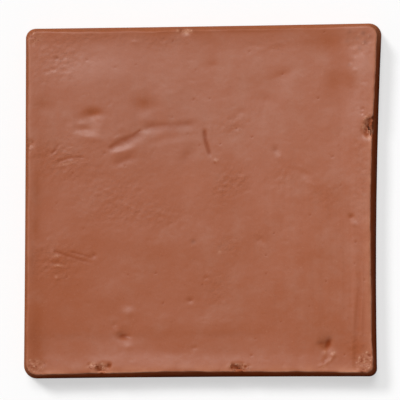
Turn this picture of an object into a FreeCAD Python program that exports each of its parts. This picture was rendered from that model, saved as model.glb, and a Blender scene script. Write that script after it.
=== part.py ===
"""Hand-pressed terracotta floor tile, fired as one piece.

Millimetres, +Z up, the tile lying on its bed face with its pressed face up. The origin is on the bed face, at
the middle of the tile. Left and right are -X and +X, front and back are -Y and +Y.

The clay was thrown into a square mould whose walls lean in towards the top, struck level, pressed by hand and
turned out. Its sides are therefore drafted and a little bowed, its corners round, and its face dished and
dented, with a proud rim that is chipped in a few places.
"""

import FreeCAD, Part
import Sketcher

import math
import os

SIZES = {
    # the mould
    "tile_width": 200.0,
    "tile_depth": 200.0,
    "tile_thickness": 20.0,
    # how far the clay stood over the tile's thickness before it was struck off
    "strike_height": 3.0,
    # how far each corner of the bed face dried away from a true rectangle, to the right and to the back
    "front_left_shift_right": -0.7,
    "front_left_shift_back": -1.2,
    "front_right_shift_right": 0.2,
    "front_right_shift_back": 0.1,
    "back_right_shift_right": 3.0,
    "back_right_shift_back": 0.9,
    "back_left_shift_right": 0.4,
    "back_left_shift_back": -2.1,
    # how far the middle of each side of the bed face is drawn in
    "front_bow": 0.3,
    "right_bow": 1.65,
    "back_bow": 0.2,
    "left_bow": 0.2,
    # how far the rim stands inside the bed face, at the corners and at the middle of each side
    "corner_draft": 1.4,
    "front_draft": 2.6,
    "right_draft": 2.9,
    "back_draft": 2.1,
    "left_draft": 1.7,
    # rounding of the upright corners, of the rim and of the edge round the bed face
    "front_left_radius": 7.5,
    "front_right_radius": 4.5,
    "back_right_radius": 7.0,
    "back_left_radius": 5.8,
    "rim_radius": 1.3,
    "bed_edge_radius": 0.8,
    # the pressed face: how far it lies below its proud rim, how wide that rim is, and how its middle sank
    "face_below_rim": 0.9,
    "rim_reach": 7.5,
    "middle_sink": 0.3,
    "ripple_height": 0.1,
    "ripple_length": 62.0,
    # fingertip hollow
    "finger_from_left": 36.0,
    "finger_from_back": 57.0,
    "finger_length": 19.0,
    "finger_width": 14.0,
    "finger_depth": 0.55,
    # two thumb pits near the front corners
    "left_pit_from_left": 57.0,
    "left_pit_from_front": 24.0,
    "left_pit_length": 10.0,
    "left_pit_width": 9.0,
    "left_pit_depth": 0.7,
    "right_pit_from_right": 28.5,
    "right_pit_from_front": 19.0,
    "right_pit_length": 9.0,
    "right_pit_width": 12.0,
    "right_pit_depth": 0.8,
    # arched fold in the clay: its two ends, its rise above the line between them, and its groove
    "fold_left_end_from_left": 46.0,
    "fold_left_end_from_back": 71.5,
    "fold_right_end_from_left": 101.0,
    "fold_right_end_from_back": 57.5,
    "fold_rise": 4.6,
    "fold_width": 8.0,
    "fold_depth": 0.5,
    "fold_left_fade": 10.0,
    "fold_right_fade": 36.0,
    # spacing of the heights that the pressed face runs through
    "face_step": 4.0,
    # chips out of the rim: place, length along the side, depth below the rim, and how far inside the line of the
    # wall's top, as it runs at the middle of that side, the middle of the chip lies
    "right_chip_from_back": 60.0,
    "right_chip_length": 12.5,
    "right_chip_depth": 1.7,
    "right_chip_inset": -0.7,
    "left_chip_from_back": 68.5,
    "left_chip_length": 6.0,
    "left_chip_depth": 1.1,
    "left_chip_inset": 1.2,
    "front_left_chip_from_left": 45.0,
    "front_left_chip_length": 9.5,
    "front_left_chip_depth": 1.3,
    "front_left_chip_inset": 1.2,
    "front_right_chip_from_right": 78.5,
    "front_right_chip_length": 9.0,
    "front_right_chip_depth": 1.3,
    "front_right_chip_inset": 1.2,
    "back_chip_from_left": 92.0,
    "back_chip_length": 8.5,
    "back_chip_depth": 1.0,
    "back_chip_inset": 1.2,
}

doc = FreeCAD.newDocument("terracotta_tile")
sheet = doc.addObject("Spreadsheet::Sheet", "sizes")
for row, (alias, value) in enumerate(SIZES.items(), start=1):
    sheet.set(f"A{row}", alias)
    sheet.set(f"B{row}", str(value))
    sheet.setAlias(f"B{row}", alias)
doc.recompute()


def size(alias):
    return float(getattr(sheet, alias))


# The mould's outline: corners run anticlockwise seen from above, and side n goes from corner n to the next

CORNERS = {
    "front_left": (-1, -1),
    "front_right": (1, -1),
    "back_right": (1, 1),
    "back_left": (-1, 1),
}
SIDES = {
    "front": (0, -1),
    "right": (1, 0),
    "back": (0, 1),
    "left": (-1, 0),
}


def corner_place(corner, inset):
    """Expressions for a corner of the outline, drawn in along both axes by the expression inset."""
    right, back = CORNERS[corner]
    across = f"{right} * (sizes.tile_width / 2 - {inset}) + sizes.{corner}_shift_right"
    along = f"{back} * (sizes.tile_depth / 2 - {inset}) + sizes.{corner}_shift_back"
    return across, along


def middle_place(side, start, end, inset):
    """Expressions for the middle of a side, between its two corners and drawn in by inset and its own bow."""
    right, back = SIDES[side]
    half = "sizes.tile_width / 2" if right else "sizes.tile_depth / 2"
    drawn = f"({half} - sizes.{side}_bow - {inset})"
    shift_right = f"(sizes.{start}_shift_right + sizes.{end}_shift_right) / 2"
    shift_back = f"(sizes.{start}_shift_back + sizes.{end}_shift_back) / 2"
    return f"{right} * {drawn} + {shift_right}", f"{back} * {drawn} + {shift_back}"


def outline_sketch(body, name, height, corner_inset, side_insets):
    """A closed sketch, at the expression height over the bed face, of four bowed sides with round corners.

    Each side is the arc through the sharp corners at its two ends and the middle of the side.
    """
    sketch = body.newObject("Sketcher::SketchObject", name)
    bed_plane = next(f for f in body.Origin.OriginFeatures if f.Role == "XY_Plane")
    sketch.AttachmentSupport = [(bed_plane, "")]
    sketch.MapMode = "FlatFace"
    sketch.setExpression("AttachmentOffset.Base.z", height)

    def now(place):
        x, y = (float(sketch.evalExpression(text)) for text in place)
        return FreeCAD.Vector(x, y, 0)

    def mark(label, place):
        """A construction point, dimensioned from the origin by the pair of expressions in place."""
        point = sketch.addGeometry(Part.Point(now(place)), True)
        for kind, value, text in (("DistanceX", now(place).x, place[0]), ("DistanceY", now(place).y, place[1])):
            index = sketch.addConstraint(Sketcher.Constraint(kind, -1, 1, point, 1, value))
            dimension = f"{label}_{kind[-1].lower()}"
            sketch.renameConstraint(index, dimension)
            sketch.setExpression(f"Constraints.{dimension}", text)
        return point

    corners = list(CORNERS)
    places = {corner: corner_place(corner, corner_inset) for corner in corners}
    marks = {corner: mark(corner, places[corner]) for corner in corners}
    side_ends = {}
    side_arcs = {}
    for number, side in enumerate(SIDES):
        start, end = corners[number], corners[(number + 1) % len(corners)]
        middle = middle_place(side, start, end, side_insets[side])
        whole = Part.Arc(now(places[start]), now(middle), now(places[end]))
        first = whole.parameterAtDistance(size(f"{start}_radius"), whole.FirstParameter)
        last = whole.parameterAtDistance(-size(f"{end}_radius"), whole.LastParameter)
        side_ends[start, side] = whole.value(first)
        side_ends[end, side] = whole.value(last)
        arc = sketch.addGeometry(Part.Arc(whole.value(first), now(middle), whole.value(last)), False)
        side_arcs[side] = arc
        for point in (marks[start], mark(f"{side}_middle", middle), marks[end]):
            sketch.addConstraint(Sketcher.Constraint("PointOnObject", point, 1, arc))

    def vertex_at(arc, point):
        return min((1, 2), key=lambda vertex: sketch.getPoint(arc, vertex).distanceToPoint(point))

    sides = list(SIDES)
    for number, corner in enumerate(corners):
        before, after = sides[number - 1], sides[number]
        start, end = side_ends[corner, before], side_ends[corner, after]
        centre = start + end - now(places[corner])
        bulge = now(places[corner]) - centre
        middle = centre + bulge * (size(f"{corner}_radius") / bulge.Length)
        arc = sketch.addGeometry(Part.Arc(start, middle, end), False)
        for side, point in ((before, start), (after, end)):
            joint = (side_arcs[side], vertex_at(side_arcs[side], point), arc, vertex_at(arc, point))
            sketch.addConstraint(Sketcher.Constraint("Tangent", *joint))
        radius = size(f"{corner}_radius")
        index = sketch.addConstraint(Sketcher.Constraint("Radius", arc, radius))
        sketch.renameConstraint(index, f"{corner}_round")
        sketch.setExpression(f"Constraints.{corner}_round", f"sizes.{corner}_radius")
    return sketch


def swell(distance, half_width):
    """A smooth hump, 1 at its middle and near 0 past about twice its half width."""
    return math.exp(-((distance / half_width) ** 2))


def ease(value):
    """A smooth rise from 0 at 0 to 1 at 1."""
    value = min(max(value, 0.0), 1.0)
    return value * value * (3 - 2 * value)


half_width = size("tile_width") / 2
half_depth = size("tile_depth") / 2


def rim_share(x, y):
    """1 on the proud rim, falling to 0 on the open face."""
    distances = (
        half_depth - size("front_draft") + y,
        half_width - size("right_draft") - x,
        half_depth - size("back_draft") - y,
        half_width - size("left_draft") + x,
    )
    open_share = 1.0
    for distance in distances:
        open_share *= 1 - swell(max(distance, 0.0), size("rim_reach"))
    return 1 - open_share


def hollow(x, y, name, middle):
    """A pressed oval: its depth at x, y."""
    across = (x - middle[0]) / (size(f"{name}_length") / 2)
    along = (y - middle[1]) / (size(f"{name}_width") / 2)
    return size(f"{name}_depth") * swell(math.hypot(across, along), 0.7)


hollows = {
    "finger": (size("finger_from_left") - half_width, half_depth - size("finger_from_back")),
    "left_pit": (size("left_pit_from_left") - half_width, size("left_pit_from_front") - half_depth),
    "right_pit": (half_width - size("right_pit_from_right"), size("right_pit_from_front") - half_depth),
}

fold_start = FreeCAD.Vector(
    size("fold_left_end_from_left") - half_width, half_depth - size("fold_left_end_from_back"), 0
)
fold_end = FreeCAD.Vector(
    size("fold_right_end_from_left") - half_width, half_depth - size("fold_right_end_from_back"), 0
)


def fold(x, y):
    """The arched groove of the fold: its depth at x, y."""
    line = fold_end - fold_start
    reach = FreeCAD.Vector(x, y, 0) - fold_start
    along = reach.dot(line) / line.Length
    share = along / line.Length
    off_line = (line.x * reach.y - line.y * reach.x) / line.Length
    off_groove = off_line - 4 * size("fold_rise") * share * (1 - share)
    fade = ease(along / size("fold_left_fade")) * ease((line.Length - along) / size("fold_right_fade"))
    return size("fold_depth") * fade * swell(off_groove, size("fold_width") / 3)


def face_height(x, y):
    """The height of the pressed face over the bed face."""
    height = size("tile_thickness") - size("face_below_rim") * (1 - rim_share(x, y))
    height -= size("middle_sink") * (1 - (x / half_width) ** 2) * (1 - (y / half_depth) ** 2)
    turn = 2 * math.pi / size("ripple_length")
    height += size("ripple_height") * math.sin(turn * (x + 0.6 * y)) * math.cos(turn * (0.8 * y - 0.3 * x))
    for name, middle in hollows.items():
        height -= hollow(x, y, name, middle)
    return height - fold(x, y)


def air_over_face():
    """The solid above the pressed face, wider than the mould."""
    margin = 2 * size("face_step")
    columns = math.ceil((2 * half_width + 2 * margin) / size("face_step")) + 1
    rows = math.ceil((2 * half_depth + 2 * margin) / size("face_step")) + 1
    left = -size("face_step") * (columns - 1) / 2
    front = -size("face_step") * (rows - 1) / 2
    heights = [
        [face_height(left + column * size("face_step"), front + row * size("face_step")) for row in range(rows)]
        for column in range(columns)
    ]
    face = Part.BSplineSurface()
    face.interpolate(heights, left, size("face_step"), front, size("face_step"))
    return face.toShape().extrude(FreeCAD.Vector(0, 0, size("tile_thickness") + size("strike_height")))


body = doc.addObject("PartDesign::Body", "mould_blank")
bed_outline = outline_sketch(body, "bed_outline", "0 mm", "0", {side: "0" for side in SIDES})
blank_height = "sizes.tile_thickness + sizes.strike_height"
growth = f"({blank_height}) / sizes.tile_thickness"
blank_insets = {side: f"sizes.{side}_draft * {growth}" for side in SIDES}
blank_outline = outline_sketch(body, "blank_outline", blank_height, f"sizes.corner_draft * {growth}", blank_insets)
walls = body.newObject("PartDesign::AdditiveLoft", "drafted_walls")
walls.Profile = (bed_outline, [""])
walls.Sections = [(blank_outline, [""])]
walls.Ruled = True
doc.recompute()

air = doc.addObject("Part::Feature", "air_over_face")
air.Shape = air_over_face()
struck = doc.addObject("Part::Cut", "struck_tile")
struck.Base = body
struck.Tool = air
doc.recompute()


# Rounding of the rim and of the edge round the bed face


def round_edges(name, base, face, radius):
    """A rounding of the given radius along every edge of a face of the base feature."""
    around = [
        number
        for number, edge in enumerate(base.Shape.Edges, start=1)
        if any(edge.isSame(other) for other in face.Edges)
    ]
    rounding = doc.addObject("Part::Fillet", name)
    rounding.Base = base
    rounding.Edges = [(number, radius, radius) for number in around]
    doc.recompute()
    return rounding


struck_face = max(struck.Shape.Faces, key=lambda face: face.CenterOfMass.z)
soft_rim = round_edges("soft_rim", struck, struck_face, size("rim_radius"))
bed_face = min(soft_rim.Shape.Faces, key=lambda face: face.CenterOfMass.z)
worn_bed = round_edges("worn_bed_edge", soft_rim, bed_face, size("bed_edge_radius"))


# Chips out of the rim, each a ball's shallow bite: its side, and the side that it is measured from

CHIPS = {
    "right_chip": ("right", "back"),
    "left_chip": ("left", "back"),
    "front_left_chip": ("front", "left"),
    "front_right_chip": ("front", "right"),
    "back_chip": ("back", "left"),
}

balls = []
for name, (side, end) in CHIPS.items():
    right, back = SIDES[side]
    across, along = ("sizes.tile_depth", "sizes.tile_width") if back else ("sizes.tile_width", "sizes.tile_depth")
    radius = f"((sizes.{name}_length^2 / 4 + sizes.{name}_depth^2) / (2 * sizes.{name}_depth))"
    inward = f"({across} / 2 - sizes.{side}_bow - sizes.{side}_draft - sizes.{name}_inset)"
    place = f"{sum(SIDES[end])} * ({along} / 2 - sizes.{name}_from_{end})"
    ball = doc.addObject("Part::Sphere", f"{name}_ball")
    ball.setExpression("Radius", radius)
    ball.setExpression("Placement.Base.x", f"{right} * {inward}" if right else place)
    ball.setExpression("Placement.Base.y", f"{back} * {inward}" if back else place)
    ball.setExpression("Placement.Base.z", f"sizes.tile_thickness - sizes.{name}_depth + {radius}")
    balls.append(ball)
bites = doc.addObject("Part::Compound", "chip_bites")
bites.Links = balls
tile = doc.addObject("Part::Cut", "chipped_tile")
tile.Base = worn_bed
tile.Tool = bites
tile.Label = "terracotta_tile"
doc.recompute()


# The outline dried askew, so the tile is moved until the middle of its box is over the origin

askew = tile.Shape.optimalBoundingBox().Center
tile.Placement.Base = FreeCAD.Vector(-askew.x, -askew.y, 0)
doc.recompute()


# Check every object, then write the tile

for item in doc.Objects:
    if "Invalid" in item.State or "Error" in item.State:
        raise RuntimeError(f"{item.Name} failed: {item.State}")
if tile.Shape.isNull() or not tile.Shape.isValid() or len(tile.Shape.Solids) != 1:
    raise RuntimeError("the tile is not one valid solid")

os.makedirs("parts", exist_ok=True)
tile.Shape.exportStep(f"parts/{tile.Label}.step")
box = tile.Shape.optimalBoundingBox()
print(f"{tile.Label}: {box.XLength:.2f} x {box.YLength:.2f} x {box.ZLength:.2f} mm")
print(f"volume {tile.Shape.Volume / 1000:.1f} cm3, {len(tile.Shape.Faces)} faces")
print(f"middle {box.Center.x:.3f}, {box.Center.y:.3f}, underside {box.ZMin:.3f}")
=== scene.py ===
import math

import bpy
import numpy as np
from mathutils import Euler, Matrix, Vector, noise
from mathutils.bvhtree import BVHTree


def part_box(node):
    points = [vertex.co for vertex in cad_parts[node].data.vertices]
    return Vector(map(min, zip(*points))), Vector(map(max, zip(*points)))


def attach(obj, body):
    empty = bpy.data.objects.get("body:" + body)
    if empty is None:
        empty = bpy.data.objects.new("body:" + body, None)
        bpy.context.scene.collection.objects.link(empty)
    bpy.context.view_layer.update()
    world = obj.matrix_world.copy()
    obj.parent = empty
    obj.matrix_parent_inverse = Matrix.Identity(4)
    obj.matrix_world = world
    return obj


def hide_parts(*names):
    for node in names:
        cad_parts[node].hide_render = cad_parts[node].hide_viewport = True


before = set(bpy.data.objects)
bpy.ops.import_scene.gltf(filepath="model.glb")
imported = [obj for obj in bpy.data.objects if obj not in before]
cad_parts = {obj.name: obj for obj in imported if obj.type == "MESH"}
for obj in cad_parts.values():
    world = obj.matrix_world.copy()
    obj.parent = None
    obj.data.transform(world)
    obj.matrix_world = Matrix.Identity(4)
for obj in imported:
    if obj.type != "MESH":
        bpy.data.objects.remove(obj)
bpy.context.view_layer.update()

mm = 0.001  # lengths below are in millimetres unless a name says otherwise

# The tile's skin: a fine grid over the face and rim, rings down the walls, and a coarser grid under the bed.
# All of it is laid on the CAD solid, which gives it the outline, the draft, the dish and the broad hollows.

tileSkin = {
    "node": "terracotta_tile",
    "faceCells": 265,  # cells along each side of the face
    "bedStep": 5,  # face cells to one bed cell
    "cornerRound": 6.5,
    "rimRound": 1.3,
    "bedRound": 0.8,
    "draft": 2.2,  # how far a wall leans in from bed to rim
    "rimRings": 2,
    "wallRings": 12,
    "wallTilt": 0.1,  # radians that a wall's outward direction tips up
    "bedRings": 3,
    "bedTilt": 0.7,  # share of the bed edge's turn that its outward direction takes
    "bedMargin": 3.0,  # from the edge of the bed face to its coarser grid
    "bedZone": -100.0,
    "sideLevel": 3.5,  # below the rim: where the walls are measured
    "sideProbes": 15,  # measures along each side
    "sideSpan": 0.86,  # share of half the side that they reach
    "sideCurve": 3,  # degree of the curve through them
    "probeStart": 5.0,  # outside the CAD box
    "probeLength": 20.0,
    "reach": 4.0,  # how far off the nominal skin the CAD solid is looked for
    "facetSmoothing": 4,  # passes that take the CAD mesh's flat facets away
    "facetPull": 0.7,  # how far one pass moves a point towards its neighbours
    "facetLimit": 0.12,  # a step larger than this is a real edge and stays
}


seedShift = np.array([7.31, 3.17, 5.93])  # what one seed is away from the next in the noise


def clayNoise(points, grain, seed):
    # smooth noise, about -1 to 1, with lumps of about the size grain
    return np.array([noise.noise(Vector(place)) for place in points / grain + seed * seedShift])


def ease(value):
    value = np.clip(value, 0.0, 1.0)
    return value * value * (3 - 2 * value)


def rise(value, start, end):
    # 0 up to start, 1 from end on, smooth between
    return ease((value - start) / (end - start))


def rimInset(t):
    # plan distance from the wall's foot line to the profile point t along the skin; t is 0 at 45 degrees
    s = tileSkin
    turn = t / s["rimRound"] + math.pi / 4
    onRim = s["rimRound"] * (1 - np.cos(np.clip(turn, 0, math.pi / 2)))
    onFace = np.maximum(t - s["rimRound"] * math.pi / 4, 0)
    return s["draft"] + onRim + onFace


def gridSides(cells, pitch):
    # for each point of a square grid, its distances from the nearest sides, and which sides those are
    steps = np.arange(cells + 1)
    i, j = (a.ravel() for a in np.meshgrid(steps, steps, indexing="ij"))
    tx = np.minimum(i, cells - i) * pitch[0]
    ty = np.minimum(j, cells - j) * pitch[1]
    return tx, ty, np.where(i * 2 < cells, -1.0, 1.0), np.where(j * 2 < cells, -1.0, 1.0)


def gridLoop(index):
    # the points round a grid, anticlockwise from above
    return np.concatenate([index[:-1, 0], index[-1, :-1], index[:0:-1, -1], index[0, :0:-1]])


def layNominalSkin(low, high):
    # every point's nominal place, outward direction and zone, and the faces that join them; the zone is the
    # distance t along the profile on the face, -1, -2 and so on down the rings, and bedZone under the bed
    s = tileSkin
    cells = s["faceCells"]
    half = (high - low)[:2] / 2
    middle = (high + low)[:2] / 2
    top = high[2]
    corner = s["cornerRound"]

    def plan(tx, ty, signX, signY, inset):
        # place and outward direction in plan for distances tx, ty from the sides
        x = half[0] - inset(tx)
        y = half[1] - inset(ty)
        outX = np.where(tx <= ty, 1.0, 0.0)
        outY = 1 - outX
        wx = np.maximum(corner - tx, 0)
        wy = np.maximum(corner - ty, 0)
        inCorner = (wx > 0) & (wy > 0)
        span = np.maximum(np.hypot(wx, wy), 1e-9)
        reach = inset(corner) - inset(corner - np.maximum(wx, wy))
        centre = half - inset(corner)
        x = np.where(inCorner, centre[0] + wx / span * reach, x)
        y = np.where(inCorner, centre[1] + wy / span * reach, y)
        outX = np.where(inCorner, wx / span, outX)
        outY = np.where(inCorner, wy / span, outY)
        place = np.stack([signX * x + middle[0], signY * y + middle[1]], 1)
        return place, np.stack([signX * outX, signY * outY], 1)

    points, normals, outs, zones = [], [], [], []

    def put(place, z, out, tilt, zone):
        # adds points whose outward direction tips up by tilt, and returns their numbers
        count = len(place)
        tilt = np.broadcast_to(tilt, count)
        numbers = sum(map(len, points)) + np.arange(count)
        points.append(np.column_stack([place, np.broadcast_to(z, count)]))
        normals.append(np.column_stack([out * np.cos(tilt)[:, None], np.sin(tilt)]))
        outs.append(out)
        zones.append(np.broadcast_to(zone, count))
        return numbers

    # face grid
    tx, ty, signX, signY = gridSides(cells, 2 * (half - rimInset(0.0)) / cells)
    place, out = plan(tx, ty, signX, signY, rimInset)
    t = np.minimum(tx, ty)
    turn = np.clip(t / s["rimRound"] + math.pi / 4, 0, math.pi / 2)
    height = top - s["rimRound"] * (1 - np.sin(turn))
    index = put(place, height, out, turn, t).reshape(cells + 1, cells + 1)
    quads = [np.stack([index[:-1, :-1], index[1:, :-1], index[1:, 1:], index[:-1, 1:]], -1).reshape(-1, 4)]
    loop = gridLoop(index)
    loopPlace, loopOut = place[loop], out[loop]

    # rings: plan offset outward from the loop, height, and tilt of the outward direction
    rings = []
    for k in range(1, s["rimRings"] + 1):
        turnK = math.pi / 4 * (1 - k / s["rimRings"])
        offset = s["rimRound"] * (math.cos(turnK) - math.cos(math.pi / 4))
        rings.append((offset, top - s["rimRound"] * (1 - math.sin(turnK)), turnK))
    wallTop = top - s["rimRound"]
    startOffset = s["rimRound"] * (1 - math.cos(math.pi / 4))
    for k in range(1, s["wallRings"] + 1):
        down = k / s["wallRings"]
        z = wallTop + (low[2] + s["bedRound"] - wallTop) * down
        rings.append((startOffset + s["draft"] * down, z, s["wallTilt"]))
    for k in range(1, s["bedRings"] + 1):
        turnK = -math.pi / 2 * k / s["bedRings"]
        offset = startOffset + s["draft"] - s["bedRound"] * (1 - math.cos(turnK))
        rings.append((offset, low[2] + s["bedRound"] * (1 + math.sin(turnK)), turnK * s["bedTilt"]))
    for number, (offset, z, tilt) in enumerate(rings):
        bedPlace = loopPlace + loopOut * offset
        ring = put(bedPlace, z, loopOut, tilt, -1.0 - number)
        quads.append(np.stack([loop, ring, np.roll(ring, -1), np.roll(loop, -1)], -1))
        loop = ring

    # coarser bed grid
    step = s["bedStep"]
    coarse = cells // step
    edgeInset = half - np.abs(bedPlace - middle).max(0)

    def bedInset(t):
        return edgeInset[0] + s["bedMargin"] + t

    bedPitch = 2 * (half - edgeInset - s["bedMargin"]) / coarse
    place, out = plan(*gridSides(coarse, bedPitch), bedInset)
    bed = put(place, low[2], out, -math.pi / 2, s["bedZone"]).reshape(coarse + 1, coarse + 1)
    quads.append(np.stack([bed[:-1, :-1], bed[:-1, 1:], bed[1:, 1:], bed[1:, :-1]], -1).reshape(-1, 4))

    # triangles between the last ring and the coarser grid
    triangles = []
    innerLoop = gridLoop(bed)
    halfStep = (step + 1) // 2
    for k, inner in enumerate(innerLoop):
        nextInner = innerLoop[(k + 1) % len(innerLoop)]
        for m in range(step):
            start, end = (loop[(k * step + m + further) % len(loop)] for further in (0, 1))
            triangles.append((start, inner if m < halfStep else nextInner, end))
        triangles.append((inner, nextInner, loop[(k * step + halfStep) % len(loop)]))
    return {
        "points": np.concatenate(points),
        "normals": np.concatenate(normals),
        "outs": np.concatenate(outs),
        "zones": np.concatenate(zones),
        "quads": np.concatenate(quads),
        "triangles": np.array(triangles),
        "grid": index,
    }


def cadTree(node):
    # a search tree over the CAD solid's surface, in millimetres
    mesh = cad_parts[node].data
    places = [v.co / mm for v in mesh.vertices]
    return BVHTree.FromPolygons(places, [list(p.vertices) for p in mesh.polygons])


def followSides(skin, low, high, tree):
    # moves the nominal skin in plan so that its four sides run along the solid's bowed and flared walls
    s = tileSkin
    half, middle = (high - low)[:2] / 2, (high + low)[:2] / 2
    level = high[2] - s["sideLevel"]
    down = (s["sideLevel"] - s["rimRound"]) / (high[2] - low[2] - s["rimRound"])
    nominal = s["draft"] * (1 - down)
    probes = np.linspace(-s["sideSpan"], s["sideSpan"], s["sideProbes"])
    plan = (skin["points"][:, :2] - middle) / half
    moved = np.zeros_like(plan)
    for axis in (0, 1):
        for sign in (-1, 1):
            gaps = []
            for probe in probes:
                start = np.full(3, level)
                start[axis] = middle[axis] + sign * (half[axis] + s["probeStart"])
                start[1 - axis] = middle[1 - axis] + probe * half[1 - axis]
                towards = np.zeros(3)
                towards[axis] = -sign
                hit = tree.ray_cast(Vector(start), Vector(towards), s["probeLength"])[0]
                gaps.append(hit[axis] - middle[axis] - sign * (half[axis] - nominal))
            curve = np.polyfit(probes, gaps, s["sideCurve"])
            gap = np.polyval(curve, np.clip(plan[:, 1 - axis], -1, 1))
            moved[:, axis] += gap * (1 + sign * plan[:, axis]) / 2
    skin["points"][:, :2] += moved
    print("sides followed, moved up to", round(float(np.abs(moved).max()), 2), "mm")


def layOnSolid(skin, tree):
    # moves each point along its outward direction until it lies on the CAD solid
    reach = tileSkin["reach"]
    offsets = np.zeros(len(skin["points"]))
    missed = 0
    for k, (point, normal) in enumerate(zip(skin["points"], skin["normals"])):
        start = Vector(point + normal * reach)
        hit, _, _, distance = tree.ray_cast(start, Vector(-normal), reach * 2)
        if hit is None:
            missed += 1
            continue
        offsets[k] = reach - distance
    print("points laid on the solid:", len(offsets), "missed:", missed)
    return offsets


def smoothGrid(values):
    # averages neighbours, but leaves a step larger than the limit
    limit = tileSkin["facetLimit"]
    for _ in range(tileSkin["facetSmoothing"]):
        padded = np.pad(values, 1, mode="edge")
        mean = (padded[:-2, 1:-1] + padded[2:, 1:-1] + padded[1:-1, :-2] + padded[1:-1, 2:]) / 4
        gap = mean - values
        values = values + gap * tileSkin["facetPull"] * (1 - rise(np.abs(gap), limit * 0.5, limit * 1.5))
    return values


# Marks in the face, from the mould's middle in millimetres: x to the right, y to the back. A row for an oval
# gives its middle x and y, its length and width, its turn in degrees, and the strength that its list names.

mouldMiddle = np.array([-1.015, 0.171, 0.0])  # from the tile's origin

dents = [
    # depth; a negative depth is a lump
    # the fingertip hollow
    (-60.8, 48.6, 11, 6, 6, 0.58),
    (-66, 42.9, 9, 5, 0, -0.28),
    (-66, 40.2, 11, 4.4, 0, 0.22),
    (-56, 42, 6, 8, 0, -0.16),
    (-75, 44.2, 5, 6, 0, 0.14),
    (-62, 35.6, 20, 5.6, -8, -0.17),
    # soft dips
    (-31.6, 53.6, 15, 11, 0, 0.42),
    (-6, 26.4, 13, 8, 40, 0.24),
    (7.6, 76.6, 8, 6, 0, 0.2),
    (48, 72, 17, 6, 20, 0.14),
    (77, 66, 12, 14, 0, 0.16),
    (35.4, 56.8, 10, 7, 0, 0.16),
    (22.8, 49.8, 6, 5, 0, 0.16),
    (58.6, 15, 9, 5, -20, 0.22),
    (34, -22.6, 8, 5, -20, 0.22),
    (-90, 53, 10, 9, 0, 0.18),
    (-20, 60, 40, 9, 20, -0.1),
    (-40, -77, 130, 9, 0, 0.12),
    (20, -76, 60, 7, 2, 0.08),
    (-90.2, -27, 4.6, 3.4, 0, -0.14),
    (-37.4, 89.6, 5, 2.2, -10, -0.16),
]

pits = [
    # depth, as above; their floors get painted shade
    (-43.4, -77, 7.4, 3.5, 0, 0.66),
    (-40.2, -77.7, 3, 2.6, 0, 0.16),
    (-46.5, -74.3, 5, 2.4, 8, -0.22),
    (-48.6, -70.6, 5, 3.6, 20, 0.22),
    (-40.6, -83.2, 4.6, 3.6, 0, -0.18),
    (-40.4, -63.6, 8, 5.6, 0, -0.22),
    (72.4, -81.2, 7.6, 3.9, 65, 0.9),
    (68.8, -81.2, 6.4, 3.2, 4, 0.46),
    (71.4, -83.4, 3.6, 3.4, 0, 0.34),
    (75.4, -87.8, 3, 2.8, 20, -0.55),
    (70.5, -86.6, 2.2, 3.6, 0, -0.34),
    (-3.8, -23.4, 3.8, 3.2, 0, 0.12),
    (3.4, -44, 3, 2.6, 0, 0.26),
    (-5.6, -56.8, 4.6, 3.4, 0, 0.42),
    (-60.2, -31.4, 3.6, 3, 0, 0.36),
    (85.6, -9.2, 3.6, 3.2, 0, 0.44),
    (85.2, 78.2, 3.2, 3, 0, 0.12),
    (42.8, 28.4, 4.4, 5, 10, 0.26),
    (45, 24.4, 2.6, 5, -24, -0.12),
    (49, 15.4, 2.2, 5, 6, 0.18),
    (62.6, 9, 9, 3.4, -24, -0.14),
    (-81.4, 80.4, 2.6, 2.6, 0, 0.36),
    (8.9, 21.8, 2.8, 2.6, -20, -0.26),
    (87.4, -13.6, 4.4, 4, 0, -0.2),
    (87.8, 73.4, 3, 2.8, 0, -0.2),
    (-3.2, -83.6, 4.4, 1.9, 0, 0.24),
    (-81.2, -44.4, 2.8, 2.4, 0, -0.24),
    (-80.4, -37.9, 6.4, 2.1, 0, -0.19),
    (-81.8, -32.9, 8, 2.6, 2, -0.21),
    (-81.5, -29, 2.2, 1.8, 0, 0.3),
    (91.9, 51.6, 1.8, 1.8, 0, 0.36),
    (91.9, 49.2, 1.6, 1.6, 0, 0.36),
]

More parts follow.
